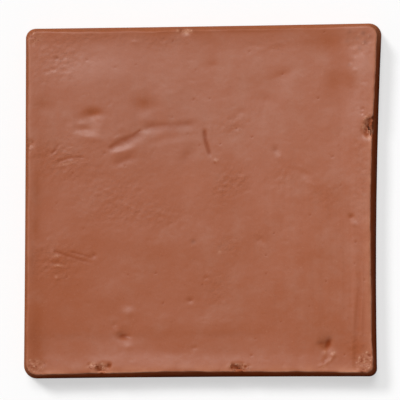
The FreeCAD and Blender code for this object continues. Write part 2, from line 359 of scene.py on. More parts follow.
creases = {
    # points along it, width of its back bank, width of its front bank, depth, fade at start and at end,
    # height of the lip in front of it, how much painted shade darkens its floor
    "foldHead": ([(-52.6, 28.8), (-49.2, 31.2), (-42.9, 35), (-37.6, 37.6)],
                 0.9, 2.6, 0.32, 2.5, 6, 0, 0.4),
    "foldStroke": ([(-44, 32.6), (-40, 35.2), (-35.9, 38), (-31, 40.8)],
                   0.9, 3, 0.32, 2, 6, 0, 0.46),
    "foldFloor": ([(-52, 28.4), (-45, 30.3), (-36, 33.6)], 2.6, 1.7, 0.32, 5, 8, 0, 0.1),
    "foldBank": ([(-53, 25.2), (-44.5, 27.2), (-33.6, 30.4)], 1.8, 1.8, -0.17, 6, 8, 0, 0),
    "foldTail": ([(-34, 40.4), (-24, 41.8), (-14, 42.2), (-5, 43.2), (1, 44.6)],
                 2, 2.6, 0.29, 6, 10, 0, 0.26),
    "foldFill": ([(-52, 28.2), (-46, 32.2), (-38.4, 36), (-27.6, 39.6), (-16.4, 41.6), (-5, 42.7)],
                 2.6, 3.6, -0.3, 4, 14, 0, 0),
    "foldUnder": ([(-52, 19.4), (-43.4, 22.4), (-33.6, 26)], 2.2, 2.6, 0.31, 7, 8, 0.02, 0.18),
    "foldCrest": ([(-50, 33.8), (-44.2, 36.8)], 0.8, 0.8, -0.12, 2, 2, 0, 0),
    "foldBetween": ([(-33, 31), (-20, 34.6), (-6, 37.4)], 1.8, 2.4, 0.08, 8, 12, 0.03, 0),
    "nick": ([(2.4, 40.8), (3.1, 33.6), (5.6, 25.6), (6.6, 23.8)], 1.05, 1.05, 0.44, 2.5, 4, 0, 0.66),
    "scratchUpper": ([(-81, 21.6), (-74.6, 24), (-68.6, 24.6), (-64, 23.8)],
                     0.8, 1, 0.17, 2, 4, 0.04, 0.24),
    "scratchLeft": ([(-84.6, 26), (-82, 28.4), (-80.2, 32)], 0.8, 1, 0.22, 1, 1, 0.05, 0.3),
    "scratchBack": ([(-89, 72.2), (-80.6, 74.8)], 0.8, 1.2, 0.12, 2, 3, 0.04, 0),
    "hairFirst": ([(-83, -28.8), (-75.6, -31.2), (-60, -36)], 0.8, 0.8, 0.15, 0.6, 7, 0, 0.38),
    "hairSecond": ([(-74.6, -29), (-66, -31), (-59, -33.4)], 0.6, 0.7, 0.12, 2, 4, 0.02, 0.36),
    "stepFirst": ([(-84.8, -35), (-78.6, -35.4)], 0.8, 0.9, 0.16, 1, 1.5, 0, 0.3),
    "pitTail": ([(75.2, -88.6), (73.8, -90.6), (71.2, -92.6), (66, -95.2)],
                0.8, 0.9, -0.3, 1, 3, 0, 0),
    "pitTailFoot": ([(71.6, -88.8), (69.6, -92)], 0.9, 0.9, 0.2, 1, 1.5, 0, 0.2),
    "rimStroke": ([(90, -30), (90.6, -50), (88.6, -74), (88.4, -97)],
                  1.2, 1.7, 0.36, 30, 1, 0.12, 0.14),
    "rimStrokeOuter": ([(93.4, -30), (93.4, -60), (92.6, -82)], 1, 1.2, 0.22, 12, 8, 0.1, 0.06),
    "rimStrokeBack": ([(92.6, 20), (91.4, 44), (92.4, 66)], 1.2, 1.4, 0.12, 10, 10, 0.05, 0),
}

paleMarks = [
    # how pale: dry clay rubbed off high spots
    (-81.8, -31.5, 6, 1.7, 0, 0.45),
    (-80.5, -36.9, 6, 1.4, 0, 0.55),
    (-81.4, -43.3, 2.4, 2.2, 0, 0.3),
    (75.4, -86.7, 2.8, 2.6, 0, 1),
    (70.6, -85.8, 1.9, 3.2, 0, 0.5),
    (73.8, -90.4, 3.6, 1.4, 60, 0.4),
    (70, -94.2, 6, 1.5, 30, 0.35),
    (-7.6, 95.4, 6, 3.4, 0, 0.7),
    (8.9, 22.6, 2.4, 2, 0, 0.5),
    (-75.2, 20.8, 12, 1.8, 14, 0.34),
    (-60.4, -92.2, 3.4, 1.6, 0, 0.6),
    (-55.6, -92.8, 3, 2, 0, 0.7),
    (11, -29.4, 1.8, 1.8, 0, 0.4),
    (21.6, -92.8, 3.6, 1.4, 0, 0.5),
    (27.8, -96.4, 2.2, 1.6, 0, 0.6),
    (23, -95.6, 1.6, 1.4, 0, 0.5),
    (92.9, 41.4, 1.7, 2.4, 0, 0.6),
    (94.1, 43.4, 1.4, 1.8, 0, 0.4),
    (96.6, 39.6, 2, 2, 0, 0.7),
    (95.6, 35.2, 3.2, 1.6, 0, 0.7),
    (97.6, 49, 1.5, 3, 0, 0.6),
    (97.4, -89, 1.8, 2.2, 0, 0.5),
    (93.4, -91.4, 2.2, 1.8, 0, 0.45),
    (95.8, -93.4, 2.2, 2, 0, 0.5),
    (91.4, -94.2, 2.4, 1.8, 0, 0.35),
    (-12.9, 96.6, 2, 3, 0, 0.4),
]

rimCuts = {
    # as the creases, but cut right through the rim
    "rightChannel": ([(99.2, 47), (96.7, 45.2), (95.9, 43), (95, 40.2)],
                     1, 1, 0.8, 0.6, 1.2, 0, 0.86),
    "rightHollow": ([(98, 45), (97, 41)], 1.4, 1.4, 0.4, 0.6, 0.6, 0, 0.76),
    "rightNotch": ([(99.8, 40.8), (98, 39.9)], 0.8, 0.8, 0.5, 0.4, 0.6, 0, 0.9),
    "rightCurl": ([(93, 38.8), (94.4, 36.9), (96.2, 37.7)], 0.8, 0.8, 0.42, 0.6, 0.6, 0, 0.75),
    "frontLeftPit": ([(-52.8, -93.6), (-50.2, -94)], 1.3, 1.3, 0.75, 0.6, 0.6, 0, 0.9),
    "frontLeftSlot": ([(-58.6, -94.2), (-57.4, -96.2), (-54.4, -98.4)], 1.2, 1.2, 0.7, 0.5, 0.8, 0, 0.9),
    "frontRightChannel": ([(17, -93.6), (20.4, -94.8), (25, -97.4)], 1.3, 1.3, 0.8, 1, 0.8, 0, 0.9),
    "frontRightPit": ([(24.6, -94.2), (27, -94.6)], 0.8, 0.8, 0.5, 0.6, 0.6, 0, 0.7),
    "leftNotchUpper": ([(-99.6, 34.4), (-97.8, 33.6)], 0.7, 0.7, 0.5, 0.3, 0.8, 0, 0.7),
    "leftNotchLower": ([(-99.6, 30.2), (-98, 29.6)], 0.7, 0.7, 0.5, 0.3, 0.8, 0, 0.7),
    "backNotch": ([(-11, 100), (-11, 94.8)], 0.5, 0.5, 0.3, 0.4, 1, 0, 0.5),
}

crumbled = [
    # middle x, y, half length, half width, depth: torn clay, by the rim and in patches of the face
    (95.9, 42.6, 4.4, 6.2, 0.8),
    (-57, -94.6, 6, 2.6, 0.5),
    (22, -94.8, 6, 2.6, 0.6),
    (-96.6, 31, 2.6, 4, 0.3),
    (-7.9, 96.8, 6, 2.4, 0.4),
    (94, -91.6, 5.6, 7.4, 0.5),
    (90, 90, 8, 8, 0.16),
    (-94, 93.6, 5, 5, 0.36),
    (-93.4, -94, 6.4, 4.8, 0.42),
]

pebbled = [
    # how strongly small bumps show
    (-80, 80, 34, 30, 20, 0.8),
    (-78, 24, 40, 26, 0, 0.9),
    (-50, 4, 50, 36, 0, 0.55),
    (-82, -35, 32, 26, 0, 0.95),
    (-30, -8, 60, 16, 0, 0.5),
    (14, 8, 14, 26, -20, 1),
    (24, 10, 10, 14, 0, 0.9),
    (16, -25, 16, 13, 0, 1),
    (34, -20, 12, 12, 0, 0.5),
    (10, -50, 20, 26, 0, 0.65),
    (18, 42, 18, 14, 30, 0.8),
    (92, 90, 16, 18, 0, 0.3),
    (87.4, 80, 14, 18, 0, -0.14),
    (92, 20, 12, 100, 0, 0.5),
    (90, -84, 18, 24, 0, 0.8),
    (48, 14, 16, 18, 0, 0.6),
    (70, 2, 20, 18, 0, 0.5),
    (-20, 90, 30, 10, 0, 0.6),
    (-60, 92, 60, 8, 0, 0.5),
    (40, 88, 40, 10, 0, 0.45),
]

handWaves = {
    # size, height and seed of each layer of lumps
    "face": [(44.0, 0.36, 3), (20.0, 0.18, 8), (9.0, 0.070, 15), (3.6, 0.032, 17)],
    "pebbles": [(3.0, 0.12, 71), (1.7, 0.11, 72)],
    "strokes": [(2.0, 0.08, 73)],  # bumps drawn out along a hand's sweep
    "strokeTurn": 24,
    "strokeLength": 1.7,
    "pebblesEverywhere": 0.14,
    "walls": [(15.0, 0.30, 21), (5.5, 0.20, 22), (2.4, 0.12, 23)],
    "wallSink": 0.25,
    "wallDrag": 3.0,  # how much longer the wall's lumps are across than up
    "rimWander": [(14.0, 0.42, 31), (5.0, 0.16, 32)],
    "rimSink": 0.25,
    "rimDrag": 0.3,  # how much the wander changes from rim to foot
    "rimWanderReach": 9.0,
    "markFade": 2.5,  # from the rim to where the face's marks are at full depth
    "pitShadeDepths": (0.08, 0.83),  # how deep a pit is where its painted shade starts, and where that shade is darkest
    # heights between which each kind of work sets in
    "wallRise": (0.6, 3.6),
    "cutRise": (12.0, 17.0),
    "tearRise": (9.0, 17.0),
    "wanderRise": (6.0, 16.0),
}

tearing = {
    # how the crumbled places break up; lumps as above
    "ragged": [(3.4, 0.45, 43)],
    "lumps": [(5.0, 2.2, 41)],
    "grit": [(2.4, 0.9, 42)],
    "edge": (1.2, 0.6),  # from untorn to fully torn, as shares of the place's half size
    "mean": 0.50,
    "bite": 0.75,
    "least": -0.35,
    "most": 1.2,
}


hollowFall = 1.5  # how steeply an oval's depth falls off
lipPlace, lipWidth = 1.3, 0.6  # of a groove's lip, as shares of the front bank's width


def pressDepth(x, y, mark):
    # an oval hollow with a softly rounded floor
    middleX, middleY, length, width, turn, depth = mark
    cosTurn, sinTurn = math.cos(math.radians(turn)), math.sin(math.radians(turn))
    along = ((x - middleX) * cosTurn + (y - middleY) * sinTurn) / (length / 2)
    across = (-(x - middleX) * sinTurn + (y - middleY) * cosTurn) / (width / 2)
    return depth * np.exp(-hollowFall * (along ** 2 + across ** 2))


def creaseDepth(x, y, crease):
    # a groove along straight runs, with a lip in front of it
    points, backWidth, frontWidth, depth, fadeIn, fadeOut, lip, _ = crease
    corners = np.array(points)
    nearest = np.full(len(x), 1e9)
    offLine = np.zeros(len(x))
    alongLine = np.zeros(len(x))
    travelled = 0.0
    for start, end in zip(corners[:-1], corners[1:]):
        run = end - start
        length = np.hypot(*run)
        reachX, reachY = x - start[0], y - start[1]
        share = np.clip((reachX * run[0] + reachY * run[1]) / length ** 2, 0, 1)
        gapX, gapY = reachX - share * run[0], reachY - share * run[1]
        gap = np.hypot(gapX, gapY)
        side = np.sign(run[0] * gapY - run[1] * gapX)
        closer = gap < nearest
        nearest = np.where(closer, gap, nearest)
        offLine = np.where(closer, gap * side, offLine)
        alongLine = np.where(closer, travelled + share * length, alongLine)
        travelled += length
    fade = ease(alongLine / fadeIn) * ease((travelled - alongLine) / fadeOut)
    width = np.where(offLine > 0, backWidth, frontWidth)
    groove = depth * np.exp(-(offLine / width) ** 2)
    ridge = lip * np.exp(-((offLine + frontWidth * lipPlace) / (frontWidth * lipWidth)) ** 2)
    return fade * (groove - ridge)


def ovalSum(x, y, ovals):
    total = np.zeros(len(x))
    for oval in ovals:
        total += pressDepth(x, y, oval)
    return total


def noiseSum(points, layers):
    total = np.zeros(len(points))
    for grain, height, seed in layers:
        total += height * clayNoise(points, grain, seed)
    return total


def grooveSum(x, y, grooves, share):
    # how deep a group of grooves goes, and how much painted shade darkens their floors
    depth, grooveShade = np.zeros(len(x)), np.zeros(len(x))
    for crease in grooves.values():
        groove = creaseDepth(x, y, crease) * share
        depth += groove
        grooveShade = np.maximum(grooveShade, crease[-1] * ease(groove / abs(crease[3])))
    return depth, grooveShade


def carveClay(skin, points):
    # pushes every point in or out by the marks; also returns the painted shade in the hollows, how torn the
    # clay, and how pebbled
    w = handWaves
    normals, outs, zones = skin["normals"], skin["outs"], skin["zones"]
    x, y, z = (points - mouldMiddle).T
    face = zones >= 0
    wall = (zones < 0) & (zones > tileSkin["bedZone"])
    onFace = np.where(face, rise(zones, 0.0, w["markFade"]), 0.0)
    onWall = np.where(wall, rise(z, *w["wallRise"]), 0.0)
    depth, hollowShade = grooveSum(x, y, creases, 1.0)
    depth += ovalSum(x, y, dents)
    for pit in pits:
        oval = pressDepth(x, y, pit)
        depth += oval
        hollowShade = np.maximum(hollowShade, rise(oval, *w["pitShadeDepths"]))
    cutDepth, cutHollowShade = grooveSum(x, y, rimCuts, rise(z, *w["cutRise"]))
    torn = np.zeros(len(points))
    ragged = noiseSum(points, tearing["ragged"])
    for middleX, middleY, halfX, halfY, bite in crumbled:
        away = np.hypot((x - middleX) / halfX, (y - middleY) / halfY) + ragged
        torn = np.maximum(torn, bite * rise(away, *tearing["edge"]) * rise(z, *w["tearRise"]))
    lumps = 1 - np.abs(noiseSum(points, tearing["lumps"])) + noiseSum(points, tearing["grit"])
    broken = torn * np.clip(tearing["mean"] - tearing["bite"] * lumps, tearing["least"], tearing["most"])
    pebbles = np.clip(w["pebblesEverywhere"] + ovalSum(x, y, pebbled), 0, 1)
    turn = math.radians(w["strokeTurn"])
    along = (x * math.cos(turn) + y * math.sin(turn)) / w["strokeLength"]
    swept = np.column_stack([along, y * math.cos(turn) - x * math.sin(turn), z])
    small = noiseSum(points, w["pebbles"]) + noiseSum(swept, w["strokes"])
    bumps = noiseSum(points, w["face"]) + pebbles * small
    drag = w["wallDrag"]
    stretch = np.where(np.abs(outs[:, :1]) > 0.7, [[1.0, drag, 1.0]], [[drag, 1.0, 1.0]])
    wallWork = noiseSum(points / stretch, w["walls"]) + w["wallSink"]
    push = onFace * (depth - bumps) + cutDepth + broken + onWall * np.maximum(wallWork, 0)
    wander = noiseSum(points * [1, 1, w["rimDrag"]], w["rimWander"]) + w["rimSink"]
    nearRim = np.where(face, 1 - rise(zones, 0.0, w["rimWanderReach"]), rise(z, *w["wanderRise"]) * wall)
    carved = points - normals * push[:, None]
    carved[:, :2] -= outs * (np.maximum(wander, 0) * nearRim)[:, None]
    return carved, np.maximum(hollowShade * onFace, cutHollowShade), torn, pebbles * onFace


# Painted on the points: where the rubbed skin is shiny, the painted shade and light on the clay, and the
# painted wall shade

rubbedSkin = {
    "atBack": 0.60,
    "atFront": 0.29,
    "between": (-90.0, 90.0),  # from front to back
    "mottle": [(26.0, 0.075, 51)],  # size, strength, seed
}

rubbedPatches = [
    # how much shinier; below 0 is duller
    (-62, 75, 64, 25, 4, 0.42),
    (-20, 72, 40, 40, 0, 0.1),
    (40, 80, 60, 14, -8, 0.1),
    (46, 60, 34, 12, 50, 0.14),
    (46, 66, 18, 8, 20, 0.14),
    (46.6, 71.4, 14, 5, 14, -0.17),
    (90, 80, 15, 30, 0, 0.4),
    (89, 50, 15, 28, -14, 0.42),
    (76, 66, 12, 18, 0, -0.24),
    (72, 91, 30, 12, 0, -0.22),
    (-88, 53.5, 16, 9, 0, -0.26),
    (-92.8, 4, 6, 30, 0, -0.22),
    (-93, -16, 6, 16, 0, -0.22),
    (-93, -70, 12, 80, 0, -0.14),
    (-80, -60, 44, 50, 0, -0.1),
    (-72, -32, 46, 26, 0, -0.1),
    (66, -52, 46, 60, 0, -0.08),
    (88, -86, 10, 12, 0, -0.16),
    (-45, 96.6, 150, 7, 0, -0.55),
    (50, 98, 110, 6, 1, -0.55),
    (-25, -89, 124, 13, 0, 0.26),
    (-41, -82, 9, 7, 0, 0.16),
    (-60.6, 50, 12, 6.5, 4, -0.52),
    (-31.6, 55, 13, 10, 0, -0.36),
    (7.6, 75.6, 9, 7, 0, -0.22),
    (-6.6, 26, 15, 8, 38, -0.18),
    (-40.4, -62, 8, 5, 0, 0.34),
    (-38, 2, 44, 40, 0, 0.08),
    (30, 20, 30, 44, 0, 0.1),
    (0, -30, 190, 20, 0, -0.06),
    (44.6, 25.2, 5, 8, -20, 0.1),
    (85.6, -9.2, 4.4, 4, 0, -0.35),
    (88.2, -13, 5, 5, 0, 0.3),
    (70, -80.6, 11, 10, 0, -0.4),
    (-88, 22, 24, 56, 0, -0.2),
    (-62, 88, 58, 13, 0, 0.15),
    (-10, 88, 24, 12, 0, 0.14),
    (86, 70, 14, 18, 0, -0.34),
    (87, 88, 12, 12, 0, 0.18),
    (88, 28, 16, 24, 0, -0.2),
    (72, 6, 34, 24, 0, -0.15),
    (50, 49, 26, 22, 0, -0.12),
    (74, -32, 36, 22, 0, -0.1),
    (-70, -88, 20, 13, 0, -0.22),
    (2, -64, 60, 20, 0, 0.07),
    (-41.6, -79, 8, 2.6, 0, -0.24),
    (-81, -38, 9, 16, 0, -0.14),
    (-62, 72, 40, 16, 0, 0.08),
    (-20, 89, 150, 11, 0, 0.06),
    (70, 86, 26, 15, 0, -0.1),
    (-10, 30, 22, 22, 0, 0.08),
    (30, 10, 22, 22, 0, 0.07),
    (-50, 28, 20, 20, 0, 0.07),
    (-30, -30, 22, 22, 0, -0.08),
    (-12, -87, 28, 13, 0, -0.13),
]

paintedShadeAndLight = [
    # painted shade: how much darker; below 0 is painted light
    (-93.2, 4, 6, 26, 0, 0.08),
    (-93.2, -14, 6, 14, 0, 0.09),
    (-94.2, -36, 4.6, 26, 0, 0.1),
    (-94, -76, 10, 34, 0, 0.05),
    (-92, -80, 18, 28, 0, 0.05),
    (-24, 44, 84, 54, 6, 0.045),
    (-58, 96.5, 90, 5, 0, 0.06),
    (22, 97.5, 50, 5, 0, 0.07),
    (-62, -77.5, 90, 5, 0, 0.06),
    (12, -76.4, 44, 4, 0, 0.06),
    (66, -26, 110, 180, 0, -0.055),
    (88, 86, 30, 30, 0, -0.04),
    (-92, 88, 30, 30, 0, -0.03),
    (0, -92, 170, 8, 0, -0.03),
    (-6, 10, 34, 24, 20, -0.04),
    (-8.4, 24.8, 14, 8, 38, 0.06),
    (42.6, 28.4, 5, 5, 0, 0.1),
    (-50, 58, 150, 110, 0, 0.034),
    (88, -4, 24, 160, 0, -0.034),
    (76, 90, 30, 12, 0, -0.03),
    (-43.2, -77.3, 8.4, 3, 0, 0.16),
    (72.4, -81.2, 7.8, 4, 65, 0.16),
    (68.4, -81.2, 6.4, 3.2, 4, 0.12),
    (84.4, 76.6, 1.8, 2.2, 0, 0.18),
    (86.6, 79.2, 2, 1.8, 0, 0.14),
    (85, 95.2, 3.2, 2.8, 0, 0.3),
    (92.4, 94.4, 3.4, 2.6, 0, 0.3),
    (93.8, 89.2, 3.4, 3, 0, 0.32),
    (96, 92.4, 2.6, 3, 0, 0.26),
    (88.6, 91.6, 2.8, 3, 0, 0.22),
    (90.4, 86, 2.4, 3.8, 0, 0.18),
    (83.6, 90, 2.8, 3.2, 0, 0.18),
    (-81.2, 80.4, 2, 2, 0, 0.2),
    (-3.6, -23.4, 3.4, 3, 0, 0.28),
    (10.8, -26.4, 1.8, 1.8, 0, 0.16),
]

wipedClay = [
    # how strongly a hand drawn from back to front streaked it
    (86, -14, 26, 180, 0, 1),
    (44, -6, 18, 60, 0, 0.8),
    (16, 84, 40, 26, 0, 0.4),
]

litCorners = [
    # how much less painted shade the walls get there: painted light where the corners stand open
    (101, 99, 22, 28, 0, 1.1),
    (-101, -100, 14, 14, 0, 0.8),
]

wallSides = {
    # front, right, back, left
    # painted shade, mostly on the front and right walls
    "wallShade": (1.0, 1.0, 0.04, 0.06),
    # worn rim edge, with a painted highlight, strongest on the front and right
    "arris": (0.90, 0.62, 0.12, 0.12),
}

arrisWearAndLight = {
    "mean": 0.65,
    "patches": [(12.0, 0.7, 61), (4.0, 0.6, 62)],  # size, strength, seed
    "tornLoss": 2.5,
    # the zones that it runs through, from the wall to the face, and how strong it is at each
    "zones": [-4.0, -2.5, -1.0, 0.5, 1.4, 2.8, 5.6],
    "strengths": [0.0, 0.3, 1.0, 1.0, 0.34, 0.26, 0.0],
}


def rubShare(points):
    s = rubbedSkin
    x, y, _ = (points - mouldMiddle).T
    share = s["atFront"] + (s["atBack"] - s["atFront"]) * rise(y, *s["between"])
    return np.clip(share + ovalSum(x, y, rubbedPatches) + noiseSum(points, s["mottle"]), 0.0, 1.0)


def bySide(outs, shares):
    # each wall's own share, blended round the upright corners
    weights = np.stack([np.maximum(-outs[:, 1], 0), np.maximum(outs[:, 0], 0),
                        np.maximum(outs[:, 1], 0), np.maximum(-outs[:, 0], 0)], 1) ** 2
    return weights @ np.array(shares) / np.maximum(weights.sum(1), 1e-6)


def wallShare(zones):
    # 0 on the face, 1 on the walls and the bed
    return np.interp(zones, [-3.0, -2.0, -1.0, 0.0], [1.0, 0.75, 0.25, 0.0])


def arrisShare(skin, points, torn):
    # 1 along the arris at the top of the walls, where it isn't torn away: worn, with a painted highlight
    wearAndLight = arrisWearAndLight
    wornAndLit = np.clip(wearAndLight["mean"] + noiseSum(points, wearAndLight["patches"]), 0, 1)
    strength = np.interp(skin["zones"], wearAndLight["zones"], wearAndLight["strengths"])
    kept = np.clip(1 - wearAndLight["tornLoss"] * torn, 0, 1)
    return strength * wornAndLit * bySide(skin["outs"], wallSides["arris"]) * kept


def makeMesh(name, points, quads, triangles):
    mesh = bpy.data.meshes.new(name)
    faces = [list(map(int, q)) for q in quads] + [list(map(int, t)) for t in triangles]
    mesh.from_pydata((points * mm).tolist(), [], faces)
    mesh.update()
    mesh.validate()
    for polygon in mesh.polygons:
        polygon.use_smooth = True
    return mesh


def keepInside(mesh, low, high):
    places = np.zeros(len(mesh.vertices) * 3, dtype=np.float32)
    mesh.vertices.foreach_get("co", places)
    mesh.vertices.foreach_set("co", np.clip(places.reshape(-1, 3), low * mm, high * mm).ravel())
    mesh.update()


def paint(mesh, name, values):
    layer = mesh.attributes.new(name, "FLOAT", "POINT")
    layer.data.foreach_set("value", np.ascontiguousarray(values, dtype=np.float32))


def putInScene(name, data):
    piece = bpy.data.objects.new(name, data)
    bpy.context.scene.collection.objects.link(piece)
    return piece


# Node helpers, for the material's nodes and for the Geometry Nodes tree


class ClayValue:
    # one number that varies over the surface; arithmetic on it adds Math nodes
    def __init__(self, nodes, socket):
        self.nodes = nodes
        self.socket = socket

    def __add__(self, other):
        return self.nodes.maths("ADD", self, other)

    def __radd__(self, other):
        return self.nodes.maths("ADD", other, self)

    def __sub__(self, other):
        return self.nodes.maths("SUBTRACT", self, other)

    def __rsub__(self, other):
        return self.nodes.maths("SUBTRACT", other, self)

    def __mul__(self, other):
        return self.nodes.maths("MULTIPLY", self, other)

    def __truediv__(self, other):
        return self.nodes.maths("DIVIDE", self, other)

    def clamped(self):
        return self.nodes.maths("MULTIPLY", self, 1.0, clamp=True)


class ClayNodes:
    # the nodes of one tree
    def __init__(self, tree):
        self.tree = tree

    def add(self, kind, settings=None, sockets=None):
        node = self.tree.nodes.new(kind)
        for name, setting in (settings or {}).items():
            setattr(node, name, setting)
        self.feed(node, sockets or {})
        return node

    def feed(self, node, sockets):
        # links a socket to each named input, or sets its value
        for name, value in sockets.items():
            value = value.socket if isinstance(value, ClayValue) else value
            if isinstance(value, bpy.types.NodeSocket):
                self.tree.links.new(value, node.inputs[name])
            else:
                node.inputs[name].default_value = value

    def maths(self, operation, first, second, clamp=False):
        settings = {"operation": operation, "use_clamp": clamp}
        return ClayValue(self, self.add("ShaderNodeMath", settings, {0: first, 1: second}).outputs[0])

    def vector(self, operation, sockets):
        return self.add("ShaderNodeVectorMath", {"operation": operation}, sockets).outputs

    def attribute(self, name):
        return ClayValue(self, self.add("ShaderNodeAttribute", {"attribute_name": name}).outputs["Fac"])

    def stretched(self, place, turn, stretch):
        # the same places turned about z and squeezed along x, y and z
        mapping = self.add("ShaderNodeMapping", {"vector_type": "TEXTURE"}, {
            "Vector": place, "Rotation": (0, 0, math.radians(turn)), "Scale": stretch})
        return mapping.outputs[0]

    def grain(self, place, size, detail=2.0, rough=0.5):
        # noise of about -1 to 1 with lumps of the given size
        texture = self.add("ShaderNodeTexNoise", {"noise_dimensions": "3D"}, {
            "Vector": place, "Scale": 1 / size, "Detail": detail, "Roughness": rough})
        return ClayValue(self, texture.outputs["Fac"]) * 2 - 1

    def rising(self, value, start, end):
        # 0 below start, 1 above end, smooth between
        ramp = self.add("ShaderNodeMapRange", {"interpolation_type": "SMOOTHSTEP"}, {
            "Value": value, "From Min": start, "From Max": end})
        return ClayValue(self, ramp.outputs[0])

    def blend(self, factor, first, second):
        return self.add("ShaderNodeMix", {"data_type": "RGBA"}, {0: factor, 6: first, 7: second}).outputs[2]


# Small marks scattered over the skin: pinholes, short scores, and crumbs where the clay is torn

skinGrit = {
    # lengths in millimetres; a density is the most of them in a square metre
    "pinholeGap": 7.0,
    "pinholeDensity": 9000.0,
    "pinholeSize": 1.5,
    "pinholeDepth": 0.30,
    "scoreGap": 6.0,
    "scoreDensity": 16000.0,
    "scoreLength": 7.0,
    "scoreWidth": 2.2,
    "scoreDepth": 0.055,
    "crumbGap": 2.6,
    "crumbDensity": 300000.0,
    "crumbSize": 1.5,
    "crumbHeight": 0.34,
    "seed": 14,
}

gritPlaces = {
    "wallEdge": 4,  # how sharply pinholes and scores end at the wall
    "size": 30.0,  # of the clusters
    "edge": (-0.2, 0.5),  # noise from outside to inside a cluster
    "lonePinholes": 0.15,  # how likely a pinhole is outside them, and how much more so inside
    "morePinholes": 0.6,
    "fewerScores": 0.7,
    "crumbs": 1.6,
    "crumbEdge": 3,  # how sharply crumbs end where the clay isn't torn
}

markShape = {
    "turnSeed": 2,
    "sizeSeed": 3,
    "sizes": (0.28, 0.5),  # least and most, from the middle to the edge, as shares of the mark's length
    "flat": 0.15,  # share of that which is at full depth
}


def scatterMarks(nodes, given, kind, likely, nextSeed, length="Size", width="Size"):
    # 1 in the middle of the nearest mark of a kind, 0 outside it; likely is how likely one is at each place
    points = nodes.add("GeometryNodeDistributePointsOnFaces", {"distribute_method": "POISSON"}, {
        "Mesh": given["Geometry"], "Distance Min": given[kind + "Gap"],
        "Density Max": given[kind + "Density"], "Density Factor": likely,
        "Seed": ClayValue(nodes, given["seed"]) + nextSeed}).outputs["Points"]
    place = nodes.add("GeometryNodeInputPosition").outputs[0]
    nearest = nodes.add("GeometryNodeSampleNearest", None, {
        "Geometry": points, "Sample Position": place}).outputs[0]

    def ofNearest(valueKind, value):
        return nodes.add("GeometryNodeSampleIndex", {"data_type": valueKind}, {
            "Geometry": points, "Value": value, "Index": nearest}).outputs[0]

    def drawn(least, most, seed):
        return nodes.add("FunctionNodeRandomValue", {"data_type": "FLOAT"}, {
            2: least, 3: most, "Seed": seed}).outputs[1]

    away = nodes.vector("SUBTRACT", {0: place, 1: ofNearest("FLOAT_VECTOR", place)})[0]
    turned = nodes.add("ShaderNodeVectorRotate", {"rotation_type": "Z_AXIS"}, {
        "Vector": away, "Angle": ofNearest("FLOAT", drawn(0.0, math.pi, markShape["turnSeed"]))}).outputs[0]
    span = nodes.add("ShaderNodeCombineXYZ", None, {
        0: given[kind + length], 1: given[kind + width], 2: given[kind + width]}).outputs[0]
    inMark = nodes.vector("DIVIDE", {0: turned, 1: span})[0]
    reach = ClayValue(nodes, nodes.vector("LENGTH", {0: inMark})["Value"])
    size = ClayValue(nodes, ofNearest("FLOAT", drawn(*markShape["sizes"], markShape["sizeSeed"])))
    return 1 - nodes.rising(reach / size, markShape["flat"], 1.0)


def makeGritTree(material):
    tree = bpy.data.node_groups.new("skinGrit", "GeometryNodeTree")
    tree.interface.new_socket("Geometry", in_out="INPUT", socket_type="NodeSocketGeometry")
    for name in skinGrit:
        kind = "NodeSocketInt" if name == "seed" else "NodeSocketFloat"
        tree.interface.new_socket(name, in_out="INPUT", socket_type=kind)
    tree.interface.new_socket("Geometry", in_out="OUTPUT", socket_type="NodeSocketGeometry")
    nodes = ClayNodes(tree)
    given = nodes.add("NodeGroupInput").outputs

    def painted(name):
        found = nodes.add("GeometryNodeInputNamedAttribute", {"data_type": "FLOAT"}, {"Name": name})
        return ClayValue(nodes, found.outputs["Attribute"])

    c = gritPlaces
    openFace = (1 - painted("wall") * c["wallEdge"]).clamped()
    torn = painted("torn")
    place = nodes.add("GeometryNodeInputPosition").outputs[0]
    clusters = nodes.rising(nodes.grain(place, c["size"] * mm, detail=1.0), *c["edge"])
    holes = openFace * (c["lonePinholes"] + clusters * c["morePinholes"])
    scores = openFace * (1 - clusters * c["fewerScores"])
    pinhole = scatterMarks(nodes, given, "pinhole", holes, 0) * openFace
    score = scatterMarks(nodes, given, "score", scores, 1, "Length", "Width") * openFace
    crumb = scatterMarks(nodes, given, "crumb", (torn * c["crumbs"]).clamped(), 2)
    crumb = crumb * (torn * c["crumbEdge"]).clamped()
    depth = pinhole * given["pinholeDepth"] + score * given["scoreDepth"] - crumb * given["crumbHeight"]
    normal = nodes.add("GeometryNodeInputNormal").outputs[0]
    push = nodes.vector("SCALE", {0: normal, "Scale": 0 - depth})[0]
    marked = given["Geometry"]
    for name, value in (("pinhole", pinhole), ("crumb", crumb)):
        marked = nodes.add("GeometryNodeStoreNamedAttribute", {"data_type": "FLOAT", "domain": "POINT"}, {
            "Geometry": marked, "Name": name, "Value": value}).outputs[0]
    marked = nodes.add("GeometryNodeSetPosition", None, {"Geometry": marked, "Offset": push}).outputs[0]
    whole = nodes.add("GeometryNodeRealizeInstances", None, {"Geometry": marked}).outputs[0]
    finished = nodes.add("GeometryNodeSetMaterial", None, {"Geometry": whole, "Material": material})
    nodes.add("NodeGroupOutput", None, {"Geometry": finished.outputs[0]})
    return tree


def scatterGrit(piece, material):
    modifier = piece.modifiers.new("skinGrit", "NODES")
    modifier.node_group = makeGritTree(material)
    for item in modifier.node_group.interface.items_tree:
        if item.in_out == "INPUT" and item.name in skinGrit:
            isLength = item.name.endswith(("Gap", "Size", "Depth", "Length", "Width", "Height"))
            modifier[item.identifier] = skinGrit[item.name] * (mm if isLength else 1)
    finished = piece.evaluated_get(bpy.context.evaluated_depsgraph_get())
    plain = bpy.data.meshes.new_from_object(finished)
    piece.modifiers.remove(modifier)
    piece.data = plain
    print("grit scattered:", len(plain.vertices), "points")


